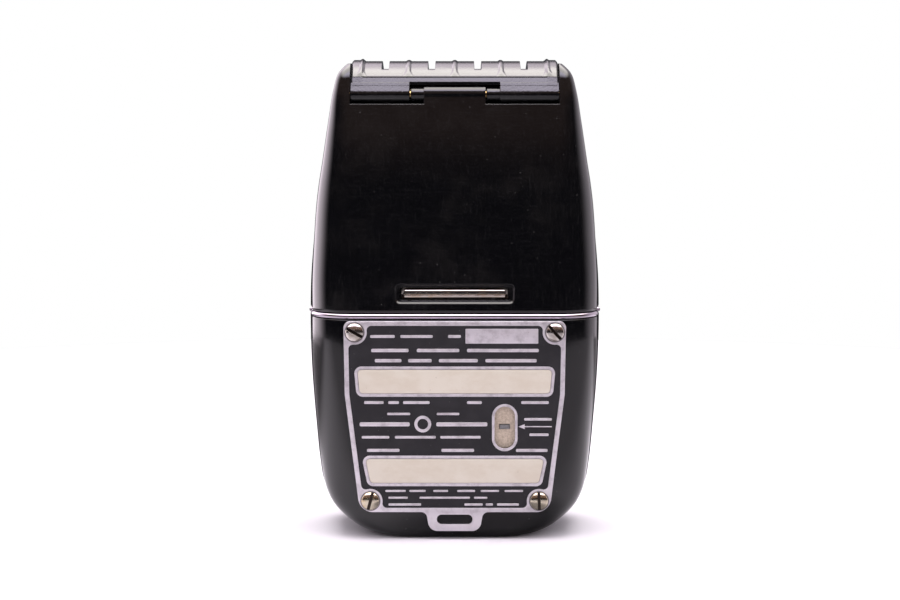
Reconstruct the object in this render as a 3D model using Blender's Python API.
"""A hand-held selenium light meter: case, photocell, moving-coil movement, calculator, lift-off hood.

Lengths are in millimetres until place() turns them into metres. +Z runs up the meter's height, the
nameplate faces -Y and the calculator faces +Y. The origin is the middle of the base it stands on.
"""

import math

import bmesh
import bpy
from mathutils import Matrix, Vector

MM = 0.001

# Overall
HEIGHT = 94.0
REAR = -15.6
FRONT = 14.4
PARTING = -1.5
LEDGE = 0.7
CORNER = 8.0
WALL = 2.0
FIT = 0.1
CLEARANCE = 0.3
BASE_ROUND = 3.5

# Heights of the case, the trim band, the hood and the hood's spigot
CASE_TOP = 43.4
BAND = (43.5, 44.5)
HOOD_BOTTOM = 44.6
CHANNEL_FLOOR = 88.4
SPIGOT_TOP = 50.3
BAND_PROUD = 0.2
BAND_DEPTH = 1.5

# The hood's lid and its hinge along X
LID_HALF_WIDTH = 20.3
HINGE_Y = -11.0
HINGE_Z = 87.15
KNUCKLE_R = 1.65
PIN_R = 0.8
HOOD_KNUCKLE = 5.9
LID_KNUCKLE = (8.8, 20.2)
LID_SLOT_PITCH = 9.1
LID_SLOT_WIDTH = 1.46
LID_SLOT_FLOOR = 92.35
LID_BOTTOM = CHANNEL_FLOOR + 0.15
LID_RISE = 2.85
LID_HALF_SPAN = 11.4
LID_MIDDLE_Y = -0.55

# The nameplate and its screws, as (x, z)
PLATE_Y = (REAR - FIT - 0.6, REAR - FIT)
TOP_SCREW = (19.55, 40.95)
LOW_SCREW = (16.55, 7.66)
SLOT_ANGLES = (-30, -48, 75, 92)
SCREW_HOLE_R = 1.2
BOSS_R = 2.4
LUG_SLOT = (3.5, 0.97, 0.9)
LUG_SLOT_Z = 3.98

# Each recessed panel's low and high edge, then its half-width at each
PANEL_DEPTH = 0.3
PANEL_THICKNESS = 0.2
PANELS = {
    "upper_note_panel": (28.85, 33.7, 18.75, 19.05),
    "lower_note_panel": (11.15, 16.1, 16.75, 17.45),
}

# The movement and the calculator share one axis along Y
AXIS_Z = 22.2
WINDOW_R = 17.0
REST_ANGLE = 40
ZERO_X = 9.8
ZERO_WINDOW = (4.0, 8.3)
SHIELD_Y = (-14.7, -14.35)
MAGNET_Y = (-4.5, 3.5)
FRAME_SCREW_X = 16.3
BRIDGE_SCREW_X = 9.0
SCALE_POST = (12.3, 17.7)
RESISTOR = (-20.0, 32.5)
DISC_Y = (15.5, 16.3)
RING_TEETH = 40

# The photocell's middle and half-depth, and its leads
CELL_Y = -2.65
CELL_HALF = 7.85
LEAD_R = 0.4
POSITIVE_LEAD = (
    (18, CELL_Y, 40.1), (18, -3.2, 37.4), (17.2, -6.5, 34), (12.5, -9.4, 30), (7.5, -9.6, 26.8),
)
NEGATIVE_LEAD = (
    (-22.9, CELL_Y, 40.1), (-22.7, -3.2, 37.4), (-19.5, -10.5, 36),
    (-12.5, -10.2, 30), (-7.5, -9.6, 26.8),
)

# The catch that holds the hood down
CATCH_Z = 48.42
CATCH_HALF = 10.0

# Half-width of the body at its widest, against height
CASE_WIDTH = (
    (0, 18.4), (0.8, 20.0), (2.0, 21.6), (3.9, 23.4), (6.0, 24.9), (9.1, 26.1),
    (13.2, 26.8), (21.3, 27.7), (31.0, 28.6), (39.0, 28.95), (50.0, 28.95),
)
HOOD_WIDTH = (
    (40.0, 28.95), (50.0, 28.8), (58.0, 28.2), (66.0, 27.4), (74.0, 26.1),
    (82.0, 24.85), (88.2, 23.75), (91.3, 22.75), (92.5, 21.7), (93.1, 21.0),
)

# Rear face, front face and corner radius of the hood, against height
HOOD_REAR = (
    (44, REAR), (55, -15.5), (66, -15.0), (76, -14.1),
    (85, -12.9), (88.4, -12.4), (91.5, -11.6), (93.1, -10.8),
)
HOOD_FRONT = (
    (44, FRONT), (55, 14.3), (66, 13.8), (76, 12.9),
    (85, 11.7), (88.4, 11.2), (91.5, 10.4), (93.1, 9.6),
)
HOOD_CORNER = ((44, CORNER), (66, 7.0), (80, 4.6), (88, 2.6), (93.1, 1.6))
HOOD_HEIGHTS = (HOOD_BOTTOM, 50, 57, 64, 70, 76, 82, 86, 89, 91.3, 92.5, 93.1)
LEDGE_END = 72.0
TUNNEL = ((HOOD_BOTTOM - 1, 2.2), (52, 2.2), (64, 2.2), (75, 2.2), (84, 2.2), (88.4, 4.0))

# Heights at which the case and its cavity are drawn
CASE_HEIGHTS = (0, 0.6, 1.5, 2.6, 4, 6, 8.5, 12, 18, 26, 35, CASE_TOP)
CAVITY_HEIGHTS = (WALL, 3, 4.6, 7, 10.5, 16, 26, 35, CASE_TOP + 1)


# ---- scene and materials


def clear_scene():
    for obj in list(bpy.data.objects):
        bpy.data.objects.remove(obj, do_unlink=True)


def make_material(name, colour, roughness, metallic=0.0, transmission=0.0):
    material = bpy.data.materials.new(name)
    material.use_nodes = True
    shader = material.node_tree.nodes["Principled BSDF"]
    shader.inputs["Base Color"].default_value = (*colour, 1.0)
    shader.inputs["Roughness"].default_value = roughness
    shader.inputs["Metallic"].default_value = metallic
    shader.inputs["Transmission Weight"].default_value = transmission
    material.diffuse_color = (*colour, 1.0)
    return material


BLACK = ((0.008, 0.008, 0.010), 0.18)
CHROME = ((0.62, 0.60, 0.62), 0.12, 1.0)
NICKEL = ((0.60, 0.57, 0.52), 0.25, 1.0)
ALUMINIUM = ((0.55, 0.53, 0.55), 0.35, 1.0)
BRASS = ((0.62, 0.45, 0.20), 0.30, 1.0)
STEEL = ((0.42, 0.42, 0.43), 0.35, 1.0)
COPPER = ((0.50, 0.20, 0.09), 0.40, 1.0)
IVORY = ((0.72, 0.66, 0.56), 0.45)
FIBRE = ((0.45, 0.36, 0.27), 0.80)
GREY_CELL = ((0.10, 0.09, 0.10), 0.35)
WHITE_PAINT = ((0.75, 0.73, 0.68), 0.50)
GLASS = ((0.95, 0.97, 0.96), 0.03, 0.0, 1.0)
RED_INSULATION = ((0.35, 0.03, 0.02), 0.50)
DARK_INSULATION = ((0.02, 0.02, 0.02), 0.50)


# ---- plane outlines, as lists of (u, v)


def arc(u, v, radius, start, end, steps):
    angles = [math.radians(start + (end - start) * i / steps) for i in range(steps + 1)]
    return [(u + radius * math.cos(a), v + radius * math.sin(a)) for a in angles]


def circle(u, v, radius, steps=16):
    """A circle turned a little, so that none of its edges lies along another piece's edge."""
    return arc(u, v, radius, 4, 364, steps)[:-1]


def rounded(u, v, half_u, half_v, radius, steps=4):
    """A rectangle with round corners, anticlockwise from its lower right corner."""
    corners = ((1, -1, -90), (1, 1, 0), (-1, 1, 90), (-1, -1, 180))
    points = []
    for side_u, side_v, start in corners:
        centre = (u + side_u * (half_u - radius), v + side_v * (half_v - radius))
        points += arc(*centre, radius, start, start + 90, steps)
    return points


def sector(radius_in, radius_out, start, end, steps):
    outer = arc(0, AXIS_Z, radius_out, start, end, steps)
    return outer + arc(0, AXIS_Z, radius_in, end, start, steps)


def smooth(points, at):
    """The value at a height of a curve drawn smoothly through (height, value) points."""
    if at <= points[0][0]:
        return points[0][1]
    if at >= points[-1][0]:
        return points[-1][1]
    i = max(k for k in range(len(points) - 1) if points[k][0] <= at)
    slopes = [(q[1] - p[1]) / (q[0] - p[0]) for p, q in zip(points, points[1:])]
    tangents = [slopes[0]] + [(a + b) / 2 for a, b in zip(slopes, slopes[1:])] + [slopes[-1]]
    span = points[i + 1][0] - points[i][0]
    t = (at - points[i][0]) / span
    rise = points[i + 1][1] - points[i][1]
    ease = t * t * (3 - 2 * t)
    bend = t * (1 - t) * ((1 - t) * tangents[i] - t * tangents[i + 1])
    return points[i][1] + rise * ease + span * bend


# ---- solids, as bmesh


def loft(rings):
    """A solid through rings of equal length, each a list of (x, y, z), closed by a flat face at each end."""
    bm = bmesh.new()
    rows = [[bm.verts.new(p) for p in ring] for ring in rings]
    for low, high in zip(rows, rows[1:]):
        for i in range(len(low)):
            j = (i + 1) % len(low)
            bm.faces.new((low[i], low[j], high[j], high[i]))
    bm.faces.new(rows[0][::-1])
    bm.faces.new(rows[-1])
    return bm


def prism(outline, low, high, axis="Z"):
    """An outline extruded along an axis. Its (u, v) are (x, y) along Z, (x, z) along Y and (y, z) along X."""
    spread = {
        "Z": lambda p, w: (p[0], p[1], w),
        "Y": lambda p, w: (p[0], w, p[1]),
        "X": lambda p, w: (w, p[0], p[1]),
    }[axis]
    return loft([[spread(p, low) for p in outline], [spread(p, high) for p in outline]])


def box(low, high):
    outline = [(low[0], low[1]), (high[0], low[1]), (high[0], high[1]), (low[0], high[1])]
    return prism(outline, low[2], high[2])


def turned(profile, steps=16, x=0.0, z=AXIS_Z):
    """A solid of revolution about a line along Y, from a closed profile of (radius, y)."""
    bm = bmesh.new()
    rows = []
    for radius, y in profile:
        if radius == 0:
            rows.append([bm.verts.new((x, y, z))])
        else:
            rows.append([bm.verts.new((u, y, v)) for u, v in circle(x, z, radius, steps)])
    for one, two in zip(rows, rows[1:] + rows[:1]):
        if len(one) == len(two) == 1:
            continue
        for i in range(steps):
            j = (i + 1) % steps
            corners = [one[i % len(one)], one[j % len(one)], two[j % len(two)], two[i % len(two)]]
            bm.faces.new(list(dict.fromkeys(corners)))
    return bm


def pin(radius, low, high, x=0.0, z=AXIS_Z, steps=12):
    return turned([(0, low), (radius, low), (radius, high), (0, high)], steps, x, z)


def pin_x(radius, low, high, steps=16):
    """A cylinder along the hinge line of the lid."""
    return prism(circle(HINGE_Y, HINGE_Z, radius, steps), low, high, "X")


# ---- objects


def place(bm, name, look=None, origin=(0, 0, 0), parent=None, sharp=35):
    """Turns a bmesh in millimetres into an object in metres, its own origin at the point given."""
    bmesh.ops.recalc_face_normals(bm, faces=bm.faces)
    bmesh.ops.translate(bm, verts=bm.verts, vec=-Vector(origin))
    bmesh.ops.scale(bm, verts=bm.verts, vec=(MM, MM, MM))
    mesh = bpy.data.meshes.new(name)
    bm.to_mesh(mesh)
    bm.free()
    obj = bpy.data.objects.new(name, mesh)
    bpy.context.scene.collection.objects.link(obj)
    obj.location = Vector(origin) * MM
    if look:
        mesh.materials.append(make_material(name, *look))
        mesh.shade_smooth()
        mesh.set_sharp_from_angle(angle=math.radians(sharp))
    if parent:
        obj.parent = parent
        obj.location = (0, 0, 0)
    return obj


def combine(obj, bm, operation, label):
    """Cuts a solid from an object, or joins it on, with a hidden helper."""
    helper = place(bm, f"{obj.name}.{label}", origin=(0, 0, 0))
    helper.hide_render = True
    helper.display_type = "WIRE"
    if obj.parent:
        helper.parent = obj.parent
        helper.location = -obj.parent.location
    modifier = obj.modifiers.new(label, "BOOLEAN")
    modifier.operation = operation
    modifier.solver = "EXACT"
    modifier.object = helper


def cut(obj, *solids):
    for bm in solids:
        combine(obj, bm, "DIFFERENCE", f"cut{len(obj.modifiers)}")


def join(obj, *solids):
    for bm in solids:
        combine(obj, bm, "UNION", f"join{len(obj.modifiers)}")


# ---- the body's horizontal sections


def section(z, inset=0.0, on_hood=False):
    """Half-width, rear y, front y, corner radius and ledge of the body at a height, all moved in by inset."""
    if on_hood:
        half, rear, front = smooth(HOOD_WIDTH, z), smooth(HOOD_REAR, z), smooth(HOOD_FRONT, z)
        corner = smooth(HOOD_CORNER, z)
        ledge = max(0.04, LEDGE * (LEDGE_END - z) / (LEDGE_END - HOOD_BOTTOM))
    else:
        low = max(0.0, BASE_ROUND - z)
        pulled = BASE_ROUND - math.sqrt(BASE_ROUND**2 - low**2)
        half, rear, front = smooth(CASE_WIDTH, z), REAR + pulled, FRONT - pulled
        corner = min(CORNER + 0.8 * pulled, PARTING - rear - 0.01)
        ledge = LEDGE
    return half - inset, rear + inset, front - inset, max(corner - inset, 1.0), ledge


def rear_outline(z, inset, front_end, on_hood=False, steps=6):
    """The rear half of a section, open towards the front, from its left end to its right end."""
    half, rear, _, corner, ledge = section(z, inset, on_hood)
    half -= ledge
    left = arc(corner - half, rear + corner, corner, 180, 270, steps)
    right = arc(half - corner, rear + corner, corner, 270, 360, steps)
    return [(-half, front_end)] + left + right + [(half, front_end)]


def front_outline(z, inset, rear_end, on_hood=False, steps=6):
    """The front half of a section, open towards the rear, from its right end to its left end."""
    half, _, front, corner, _ = section(z, inset, on_hood)
    right = arc(half - corner, front - corner, corner, 0, 90, steps)
    left = arc(corner - half, front - corner, corner, 90, 180, steps)
    return [(half, rear_end)] + right + left + [(-half, rear_end)]


def full_outline(z, inset=0.0, on_hood=False, steps=6):
    ledge_y = PARTING + inset
    rear = rear_outline(z, inset, ledge_y, on_hood, steps)
    return rear + front_outline(z, inset, ledge_y, on_hood, steps)


def at_height(outline, z):
    return [(x, y, z) for x, y in outline]


def zero_window():
    half_wide, half_high = ZERO_WINDOW[0] / 2, ZERO_WINDOW[1] / 2
    return rounded(ZERO_X, AXIS_Z, half_wide, half_high, half_wide - 0.01)


# ---- the case


def make_rear_case():
    end = PARTING
    rings = [at_height(rear_outline(z, 0, end), z) for z in CASE_HEIGHTS]
    case = place(loft(rings), "rear_case", BLACK)
    rings = [at_height(rear_outline(z, WALL, end + 1), z) for z in CAVITY_HEIGHTS]
    cut(case, loft(rings))
    inner = REAR + WALL
    for side in (-1, 1):
        x = side * LOW_SCREW[0]
        join(case, pin(BOSS_R, inner - 0.5, PARTING, x, LOW_SCREW[1]))
        cut(case, pin(SCREW_HOLE_R, REAR - 1, PARTING + 1, x, LOW_SCREW[1]))
        cut(case, pin(SCREW_HOLE_R, REAR - 1, inner + 1, side * TOP_SCREW[0], TOP_SCREW[1]))
        join(case, pin(2.2, inner - 0.5, -6.3, side * FRAME_SCREW_X))
        cut(case, pin(0.9, -10.5, -6, side * FRAME_SCREW_X))
    join(case, pin(1.0, inner - 0.5, 2.6, *RESISTOR))
    cut(case, prism(zero_window(), REAR - 1, inner + 1, "Y"))
    cut(case, prism(sector(7.3, 13.0, -50, 50, 12), SHIELD_Y[0] - FIT, inner + 1, "Y"))


def make_front_case():
    start = PARTING + FIT
    rings = [at_height(front_outline(z, 0, start), z) for z in CASE_HEIGHTS]
    case = place(loft(rings), "front_case", BLACK)
    rings = [at_height(front_outline(z, WALL, start - 1), z) for z in CAVITY_HEIGHTS]
    cut(case, loft(rings))
    cut(case, pin(WINDOW_R, FRONT - WALL - 1, FRONT + 1, steps=40))
    for side in (-1, 1):
        x = side * LOW_SCREW[0]
        join(case, pin(BOSS_R, start, FRONT - WALL + 0.5, x, LOW_SCREW[1]))
        cut(case, pin(SCREW_HOLE_R, start - 1, 5, x, LOW_SCREW[1]))


def make_trim_band():
    band = place(prism(full_outline(CASE_TOP, -BAND_PROUD), *BAND), "trim_band", CHROME)
    cut(band, prism(full_outline(CASE_TOP, BAND_DEPTH), BAND[0] - 1, BAND[1] + 1))


# ---- the nameplate


def plate_outline():
    """Half of the plate's outline from the top, then its mirror image: a shield with a lug below."""
    half = [(0, 43.1)]
    half += arc(20.4, 41.8, 1.3, 90, 4, 4)
    half += [(21.5, 28.75)]
    half += arc(16.0, 8.4, 2.97, -12, -88, 5)
    half += arc(6.6, 4.23, 1.2, 90, 168, 3)
    half += arc(3.4, 3.5, 1.83, -10, -90, 4)
    return half + [(-x, z) for x, z in reversed(half) if x > 0]


def panel_outline(low, high, half_low, half_high, inset=0.0):
    radius = 0.8
    width_low, width_high = half_low - inset, half_high - inset
    points = arc(width_low - radius, low + inset + radius, radius, -90, 0, 3)
    points += arc(width_high - radius, high - inset - radius, radius, 0, 90, 3)
    return points + [(-x, z) for x, z in reversed(points)]


def make_nameplate():
    back, face = PLATE_Y[1], PLATE_Y[0]
    plate = place(prism(plate_outline(), face, back, "Y"), "nameplate", ALUMINIUM)
    for x, z in screw_places():
        cut(plate, pin(SCREW_HOLE_R, face - 1, back + 1, x, z))
    cut(plate, prism(zero_window(), face - 1, back + 1, "Y"))
    cut(plate, prism(rounded(0, LUG_SLOT_Z, *LUG_SLOT, 3), face - 1, back + 1, "Y"))
    for name, shape in PANELS.items():
        cut(plate, prism(panel_outline(*shape), face - 1, face + PANEL_DEPTH, "Y"))
        tablet = prism(panel_outline(*shape, FIT), face, face + PANEL_THICKNESS, "Y")
        place(tablet, name, IVORY)


def screw_places():
    return [(-TOP_SCREW[0], TOP_SCREW[1]), TOP_SCREW, (-LOW_SCREW[0], LOW_SCREW[1]), LOW_SCREW]


def make_plate_screws():
    base = PLATE_Y[0] - FIT
    for number, ((x, z), angle) in enumerate(zip(screw_places(), SLOT_ANGLES), 1):
        tip = -11.4 if z > AXIS_Z else 3.5
        dome = [(0, 0.75), (0.75, 0.68), (1.35, 0.42), (1.7, 0.1), (1.78, 0)]
        profile = [(radius, base - rise) for radius, rise in dome]
        profile += [(0.9, base), (0.9, tip), (0, tip)]
        head = turned(profile, 20, x, z)
        screw = place(head, f"plate_screw_{number}", NICKEL, (x, base, z))
        slot = box((-3, base - 2, -0.26), (3, base - 0.32, 0.26))
        turn = Matrix.Rotation(math.radians(-angle), 3, "Y")
        bmesh.ops.rotate(slot, verts=slot.verts, matrix=turn)
        bmesh.ops.translate(slot, verts=slot.verts, vec=(x, 0, z))
        cut(screw, slot)


# ---- the photocell


def pocket(half, grow=0.0, radius=4.5, front=None):
    """A long rounded outline for the cell and what lies over it, nearer the rear than the front."""
    rear = CELL_Y - CELL_HALF - grow
    front = CELL_Y + CELL_HALF + grow if front is None else front
    return rounded(0, (rear + front) / 2, half, (front - rear) / 2, radius)


def make_cell_holder():
    skirt, neck, spigot = 2.4, 1.7, 2.6
    steps = ((38.5, skirt), (BAND[0], skirt), (BAND[0], neck))
    steps += ((BAND[1], neck), (BAND[1], spigot), (SPIGOT_TOP, spigot))
    rings = [at_height(full_outline(CASE_TOP, inset), z) for z, inset in steps]
    holder = place(loft(rings), "cell_holder", BLACK)
    cut(holder, box((-30, 7.2, 38), (30, 15, 41.3)))
    cut(holder, prism(pocket(23.9, 0.4, 5.0), 40.0, 47))
    cut(holder, prism(pocket(24.2, 0.4, 5.0, 9.9), 46.0, SPIGOT_TOP + 1))
    for lead_x, radius in ((18, 0.8), (-22.9, 0.7)):
        cut(holder, prism(circle(lead_x, CELL_Y, radius, 12), 38, 41))
    half = CATCH_HALF + 0.4
    cut(holder, box((-half, -14, CATCH_Z - 1.25), (half, -10, CATCH_Z + 1.25)))
    for side in (-1, 1):
        cut(holder, pin(SCREW_HOLE_R, -14, -10, side * TOP_SCREW[0], TOP_SCREW[1]))


def make_photocell():
    place(prism(rounded(0, CELL_Y, 20, 4.5, 2), 40.25, 40.6), "cell_rear_contact", BRASS)
    place(prism(pocket(22.4), 41.0, 42.2), "selenium_cell", GREY_CELL)
    ring = place(prism(pocket(23.5), 42.4, 42.8), "cell_contact_ring", BRASS)
    cut(ring, prism(pocket(21.2, -2.2, 2.4), 42, 43))
    join(ring, box((-23.4, CELL_Y - 2, 40.4), (-22.8, CELL_Y + 2, 42.6)))
    place(prism(pocket(23.5), 43.0, 44.2), "cell_glass", GLASS)
    frame = place(prism(pocket(23.5), 44.4, 45.6), "cell_retainer", STEEL)
    for middle in (-16, -8, 0, 8, 16):
        cut(frame, prism(rounded(middle, CELL_Y, 3.4, 6.2, 1.5, 3), 44, 46))


def wire(name, points, look):
    curve = bpy.data.curves.new(name, "CURVE")
    curve.dimensions = "3D"
    curve.bevel_depth = LEAD_R * MM
    curve.bevel_resolution = 1
    curve.use_fill_caps = True
    spline = curve.splines.new("POLY")
    count = 4 * (len(points) - 1)
    spline.points.add(count)
    courses = [[(i, p[axis]) for i, p in enumerate(points)] for axis in range(3)]
    for k in range(count + 1):
        spot = [smooth(course, k / 4) * MM for course in courses]
        spline.points[k].co = (*spot, 1)
    curve.materials.append(make_material(name, *look))
    obj = bpy.data.objects.new(name, curve)
    bpy.context.scene.collection.objects.link(obj)


def make_leads():
    wire("positive_lead", POSITIVE_LEAD, RED_INSULATION)
    wire("negative_lead", NEGATIVE_LEAD, DARK_INSULATION)


# ---- the movement


def make_magnet():
    place(prism(sector(11.2, 15, -225, 45, 30), *MAGNET_Y, "Y"), "magnet", STEEL)
    for name, start, side in (("pole_piece_right", -46, 1), ("pole_piece_left", 134, -1)):
        arch = sector(6.2, 10.9, start, start + 92, 12)
        pole = place(prism(arch, *MAGNET_Y, "Y"), name, STEEL)
        x = side * BRIDGE_SCREW_X
        cut(pole, pin(0.75, 2.2, 4, x), pin(0.75, -5, -3.2, x))
    place(pin(4.3, -3.5, 2.5, steps=20), "iron_core", STEEL)
    place(box((-1.6, -1.6, AXIS_Z - 10.8), (1.6, 1.6, AXIS_Z - 4.6)), "core_bracket", BRASS)


def make_movement_frame():
    frame = place(prism(sector(11.5, 18, -225, 45, 24), -6.0, -4.8, "Y"), "movement_frame", BRASS)
    for number, side in enumerate((-1, 1), 1):
        x = side * FRAME_SCREW_X
        cut(frame, pin(0.85, -7, -4, x))
        profile = [(0, -4.0), (1.2, -4.1), (1.2, -4.7), (0.6, -4.7), (0.6, -9.8), (0, -9.8)]
        screw = place(turned(profile, 12, x), f"frame_screw_{number}", STEEL, (x, -4.7, AXIS_Z))
        cut(screw, box((x - 2, -4.35, AXIS_Z - 0.2), (x + 2, -3, AXIS_Z + 0.2)))


def bridge_outline(face, foot, thickness):
    """A bridge seen from above: a bar with a foot at each end. Face is the foot's end nearest the coil."""
    direction = 1 if foot > face else -1
    top = foot + direction * thickness
    inner, outer = 7.4, 10.5
    under = [(-outer, face), (-inner, face), (-inner, foot), (inner, foot), (inner, face)]
    return under + [(outer, face), (outer, top), (-outer, top)]


def make_bridge(name, face, foot, screw_numbers):
    direction = 1 if foot > face else -1
    top = foot + direction
    bar = place(prism(bridge_outline(face, foot, 1.0), AXIS_Z - 2, AXIS_Z + 2), name, BRASS)
    boss_end = top + direction * 1.2
    if direction < 0:
        join(bar, pin(1.9, boss_end, top + 0.5, steps=16))
    cut(bar, pin(0.9, min(foot, boss_end) - 1, max(foot, boss_end) + 1))
    for number, side in zip(screw_numbers, (-1, 1)):
        x = side * BRIDGE_SCREW_X
        cut(bar, pin(0.75, min(face, top) - 1, max(face, top) + 1, x))
        under = top + direction * FIT
        head = under + direction * 0.45
        tip = face - direction * 1.2
        profile = [(0, head), (1.2, head), (1.2, under), (0.6, under), (0.6, tip), (0, tip)]
        screw = place(turned(profile, 12, x), f"bridge_screw_{number}", STEEL, (x, under, AXIS_Z))
        low, high = sorted((head - direction * 0.2, head + direction))
        cut(screw, box((x - 0.18, low, AXIS_Z - 2), (x + 0.18, high, AXIS_Z + 2)))


def make_bridges():
    make_bridge("front_bridge", 3.8, 5.8, (1, 2))
    make_bridge("rear_bridge", -4.8, -6.8, (3, 4))
    profile = [(0, 7.6), (1.4, 7.6), (1.4, 6.9), (0.8, 6.9), (0.8, 6.35), (0, 6.35)]
    front = place(turned(profile, 12), "front_jewel_screw", BRASS)
    cut(front, box((-2, 7.3, AXIS_Z - 0.2), (2, 9, AXIS_Z + 0.2)))
    profile = [(0, -9.9), (1.4, -9.9), (1.4, -9.3), (0.8, -9.3), (0.8, -6.9), (0, -6.9)]
    rear = place(turned(profile, 12), "rear_jewel_screw", BRASS)
    cut(rear, box((-2, -12, AXIS_Z - 0.2), (2, -9.6, AXIS_Z + 0.2)))


def make_scale_plate():
    profile = [(8.4, 7.8), (18.2, 7.8), (18.2, 8.3), (8.4, 8.3)]
    plate = place(turned(profile, 36), "scale_plate", WHITE_PAINT)
    pillar = [(0, 3.8), (1.4, 3.8), (1.4, 7.6), (0.7, 7.6)]
    head = [(0.7, 8.4), (1.3, 8.4), (1.3, 8.8), (0, 8.8)]
    for number, side in enumerate((-1, 1), 1):
        x, z = side * SCALE_POST[0], SCALE_POST[1]
        cut(plate, pin(0.9, 7, 9, x, z))
        post = turned(pillar + head, 12, x, z)
        place(post, f"scale_post_{number}", BRASS, (x, 8.4, z))


def spiral(name, low, high, look):
    """A flat hairspring: a ribbon wound in three turns about the movement's axis."""
    turns, steps, start, growth, thickness = 3, 12, 1.1, 0.75, 0.16
    bm = bmesh.new()
    rows = []
    for k in range(turns * steps + 1):
        angle = 2 * math.pi * k / steps
        radius = start + growth * k / steps
        unit = (math.cos(angle), math.sin(angle))
        outer = radius + thickness
        corners = ((radius, low), (outer, low), (outer, high), (radius, high))
        spots = [(r * unit[0], y, AXIS_Z + r * unit[1]) for r, y in corners]
        rows.append([bm.verts.new(spot) for spot in spots])
    for one, two in zip(rows, rows[1:]):
        for i in range(4):
            j = (i + 1) % 4
            bm.faces.new((one[i], one[j], two[j], two[i]))
    bm.faces.new(rows[0])
    bm.faces.new(rows[-1][::-1])
    place(bm, name, look)


def make_moving_coil():
    """All that turns with the needle, drawn pointing straight up, then turned to the scale's zero."""
    axis = bpy.data.objects.new("needle_axis", None)
    bpy.context.scene.collection.objects.link(axis)
    axis.location = (0, 0, AXIS_Z * MM)
    axis.rotation_euler = (0, math.radians(REST_ANGLE), 0)
    centre = (0, 0, AXIS_Z)

    block = box((-5.1, -4.6, AXIS_Z - 1.2), (5.1, 3.6, AXIS_Z + 1.2))
    former = place(block, "coil_former", ALUMINIUM, centre, axis)
    cut(former, box((-4.7, -4.2, AXIS_Z - 2), (4.7, 3.2, AXIS_Z + 2)))
    block = box((-5.9, -5.4, AXIS_Z - 1), (5.9, 4.3, AXIS_Z + 1))
    coil = place(block, "coil_winding", COPPER, centre, axis)
    cut(coil, box((-5.2, -4.7, AXIS_Z - 2), (5.2, 3.7, AXIS_Z + 2)))

    profile = [(0, 4.4), (0.9, 4.4), (0.9, 4.6), (0.35, 4.6), (0.35, 6.0), (0, 6.25)]
    place(turned(profile, 12), "front_staff", STEEL, centre, axis)
    profile = [(0, -5.5), (0.9, -5.5), (0.9, -5.7), (0.35, -5.7), (0.35, -6.5), (0, -6.8)]
    place(turned(profile, 12), "rear_staff", STEEL, centre, axis)

    side = [(-4.2, 4.7), (7.3, 4.7), (7.7, 8.7), (15.6, 8.7)]
    side += [(15.6, 8.95), (7.45, 8.95), (7.05, 4.95), (-4.2, 4.95)]
    blade = [(y, AXIS_Z + r) for r, y in side]
    needle = place(prism(blade, -0.22, 0.22, "X"), "needle", BLACK, centre, axis)
    join(needle, pin(1.0, 4.7, 4.95), pin(0.8, 4.5, 5.15, 0, AXIS_Z - 3.8))
    cut(needle, pin(0.45, 4, 6))

    spiral("front_hairspring", 5.25, 5.5, BRASS)
    spiral("rear_hairspring", -6.4, -6.15, BRASS)


def make_zero_adjuster():
    centre = (0, -9, AXIS_Z)
    collar = turned([(2.2, -9.1), (3.6, -9.1), (3.6, -8.6), (2.2, -8.6)], 24)
    lever = place(collar, "zero_lever", NICKEL, centre)
    join(lever, box((3.1, -9.1, AXIS_Z - 0.8), (ZERO_X + 1.0, -8.6, AXIS_Z + 0.8)))
    join(lever, box((ZERO_X - 0.95, -15.2, AXIS_Z - 0.4), (ZERO_X + 0.95, -8.8, AXIS_Z + 0.4)))
    sheet = prism(sector(7.6, 12.7, -36, 36, 9), *SHIELD_Y, "Y")
    shield = place(sheet, "dust_shield", FIBRE, centre)
    cut(shield, box((ZERO_X - 1.05, -16, AXIS_Z - 0.5), (ZERO_X + 1.05, -12, AXIS_Z + 0.5)))


def make_resistor():
    x, z = RESISTOR
    profile = [(1.3, -9), (3, -9), (3, -8.4), (2.3, -8.4)]
    profile += [(2.3, 0.4), (3, 0.4), (3, 1), (1.3, 1)]
    place(turned(profile, 16, x, z), "range_resistor", COPPER, (x, 0, z))


# ---- the calculator on the front


def make_calculator():
    glass = [(1.3, 11.0), (18.3, 11.0), (18.3, 12.1), (1.3, 12.1)]
    place(turned(glass, 40), "window_glass", GLASS)
    retainer = [(17.2, 10.0), (18.8, 10.0), (18.8, 10.7), (17.2, 10.7)]
    place(turned(retainer, 32), "glass_retainer", STEEL)

    bezel = [(16.0, 12.4), (16.8, 12.4), (16.8, 15.2), (18.4, 15.2)]
    bezel += [(18.4, 15.7), (17.9, 16.0), (16.0, 16.0)]
    place(turned(bezel, 40), "window_bezel", CHROME)

    rivet = [(0, 10.2), (2.2, 10.2), (2.2, 10.8), (1.0, 10.8)]
    rivet += [(1.0, 12.3), (2.4, 12.3), (2.4, 15.3), (1.0, 15.3)]
    rivet += [(1.0, 16.5), (2.2, 16.5), (2.0, 17.0), (0, 17.1)]
    place(turned(rivet, 16), "hub_rivet", NICKEL)

    disc = place(pin(8.5, *DISC_Y, steps=40), "speed_disc", ALUMINIUM, (0, 15.9, AXIS_Z))
    root, tip = AXIS_Z + 8, AXIS_Z + 13.4
    pointer = [(-1.3, root), (1.3, root), (0.5, tip), (-0.5, tip)]
    join(disc, prism(pointer, DISC_Y[0], DISC_Y[0] + 0.5, "Y"))
    cut(disc, pin(1.25, 15, 17))
    make_time_ring()


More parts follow.
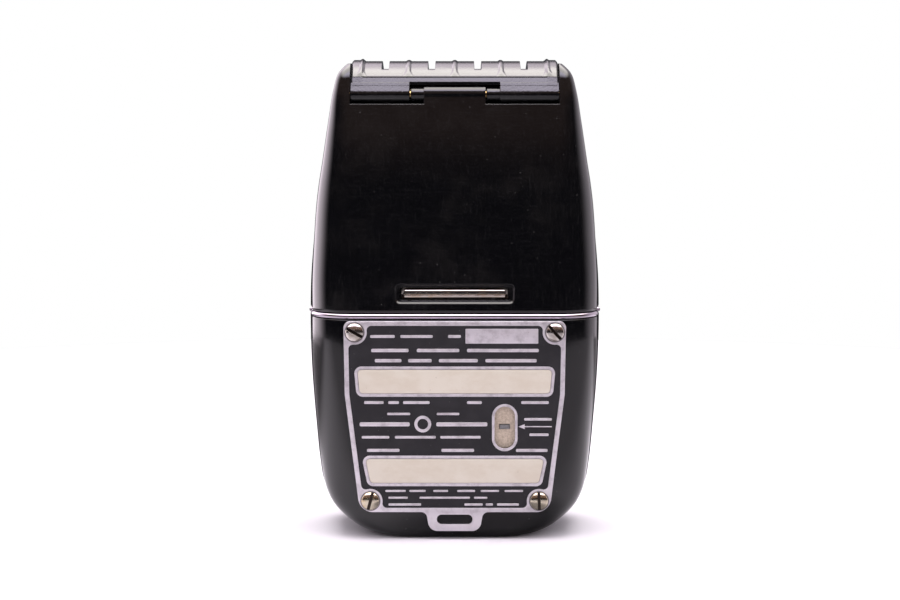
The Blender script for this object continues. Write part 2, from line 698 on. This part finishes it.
def make_time_ring():
    """A ring with a knurled edge, its foot held under the bezel's rim."""
    ridge, groove = 20.8, 20.4
    inner = [(18.8, 17.15), (18.8, 15.0), (17.2, 15.0), (17.2, 14.6)]
    bm = bmesh.new()
    columns = []
    for k in range(2 * RING_TEETH):
        angle = math.pi * (k + 0.3) / RING_TEETH
        edge = ridge if k % 2 else groove
        profile = [(19.7, 14.6), (edge, 14.9), (edge, 16.8), (19.9, 17.15)] + inner
        unit = (math.cos(angle), math.sin(angle))
        spots = [(r * unit[0], y, AXIS_Z + r * unit[1]) for r, y in profile]
        columns.append([bm.verts.new(spot) for spot in spots])
    for one, two in zip(columns, columns[1:] + columns[:1]):
        for i in range(len(one)):
            j = (i + 1) % len(one)
            bm.faces.new((one[i], one[j], two[j], two[i]))
    place(bm, "time_ring", BLACK, (0, 15.9, AXIS_Z))


# ---- the hood


def make_hood():
    rings = [at_height(full_outline(z, 0, True), z) for z in HOOD_HEIGHTS]
    hood = place(loft(rings), "hood", BLACK)
    rings = [at_height(full_outline(z, inset, True), z) for z, inset in TUNNEL]
    rings.append([(x, y, HEIGHT + 0.5) for x, y, _ in rings[-1]])
    cut(hood, loft(rings))

    channel = LID_HALF_WIDTH + CLEARANCE
    cut(hood, box((-channel, -20, CHANNEL_FLOOR), (channel, 20, HEIGHT + 5)))
    for side in (-1, 1):
        low, high = sorted((side * (HOOD_KNUCKLE + 0.1), side * (LID_KNUCKLE[1] + 0.25)))
        notch = rounded(HINGE_Y, 88.3, 3.0, 3.0, 0.6, 2)
        cut(hood, prism(notch, low, high, "X"))
    join(hood, pin_x(KNUCKLE_R, -HOOD_KNUCKLE, HOOD_KNUCKLE))
    cut(hood, pin_x(PIN_R + 0.1, -21.9, 21.9, 12))

    recess = rounded(0, CATCH_Z, 11.9, 1.85, 0.9, 3)
    cut(hood, prism(recess, REAR - 1, REAR + 0.6, "Y"))
    cut(hood, prism(rounded(0, CATCH_Z, 10.8, 1.25, 0.4, 3), REAR - 1, REAR + 4, "Y"))
    place(pin_x(PIN_R, -21.6, 21.6, 12), "hinge_pin", BRASS)


def make_lid():
    origin = (0, HINGE_Y, HINGE_Z)
    radius = (LID_HALF_SPAN**2 + LID_RISE**2) / (2 * LID_RISE)
    sweep = math.degrees(math.asin(LID_HALF_SPAN / radius))
    top = arc(LID_MIDDLE_Y, HEIGHT - radius, radius, 90 - sweep, 90 + sweep, 10)
    profile = [(-12.3, LID_BOTTOM), (11.2, LID_BOTTOM), (11.2, 90.6)] + top + [(-12.3, 90.5)]
    lid = place(prism(profile, -LID_HALF_WIDTH, LID_HALF_WIDTH, "X"), "lid", BLACK, origin)
    cut(lid, box((-18.6, -10.3, 87), (18.6, 9.6, 90.9)))
    for k in (-1.5, -0.5, 0.5, 1.5):
        x = k * LID_SLOT_PITCH
        half = LID_SLOT_WIDTH / 2
        cut(lid, box((x - half, -20, LID_SLOT_FLOOR), (x + half, 20, HEIGHT + 1)))
        cut(lid, box((x - 0.4, -7.5, 90), (x + 0.4, 6.5, HEIGHT + 1)))
    middle = LID_KNUCKLE[0] + 0.05
    cut(lid, box((-middle, -13, 87), (middle, -9.0, HINGE_Z + KNUCKLE_R + 0.25)))
    cut(lid, box((-middle, -13, 87), (middle, -11.2, 90.6)))
    for side in (-1, 1):
        low, high = sorted((side * LID_KNUCKLE[0], side * LID_KNUCKLE[1]))
        join(lid, pin_x(KNUCKLE_R, low, high))
        join(lid, box((low, -12.3, HINGE_Z), (high, HINGE_Y + 0.9, 89.6)))
        cut(lid, pin_x(PIN_R + 0.1, low - 1, high + 1, 12))
    join(lid, prism(rounded(11.5, 89.75, 0.6, 0.75, 0.3, 2), -6, 6, "X"))


# ---- the hood's catch


def make_catch():
    centre = (0, -13, CATCH_Z)
    bar = prism(rounded(-12.9, CATCH_Z, 2.3, 0.88, 0.4, 3), -CATCH_HALF, CATCH_HALF, "X")
    catch = place(bar, "rear_catch", CHROME, centre)
    join(catch, box((-11.8, -10.75, CATCH_Z - 1.9), (11.8, -10.1, CATCH_Z + 1.4)))
    bow = [(x, -9.7 + 1.1 * (x / 11.0) ** 2) for x in (-11, -8.25, -5.5, -2.75, 0, 2.75, 5.5, 8.25, 11)]
    strip = bow + [(x, y + 0.25) for x, y in reversed(bow)]
    place(prism(strip, CATCH_Z - 1.2, CATCH_Z + 1.2), "catch_spring", STEEL, centre)


def main():
    clear_scene()
    make_rear_case()
    make_front_case()
    make_trim_band()
    make_nameplate()
    make_plate_screws()
    make_cell_holder()
    make_photocell()
    make_leads()
    make_magnet()
    make_movement_frame()
    make_bridges()
    make_scale_plate()
    make_moving_coil()
    make_zero_adjuster()
    make_resistor()
    make_calculator()
    make_hood()
    make_lid()
    make_catch()


main()
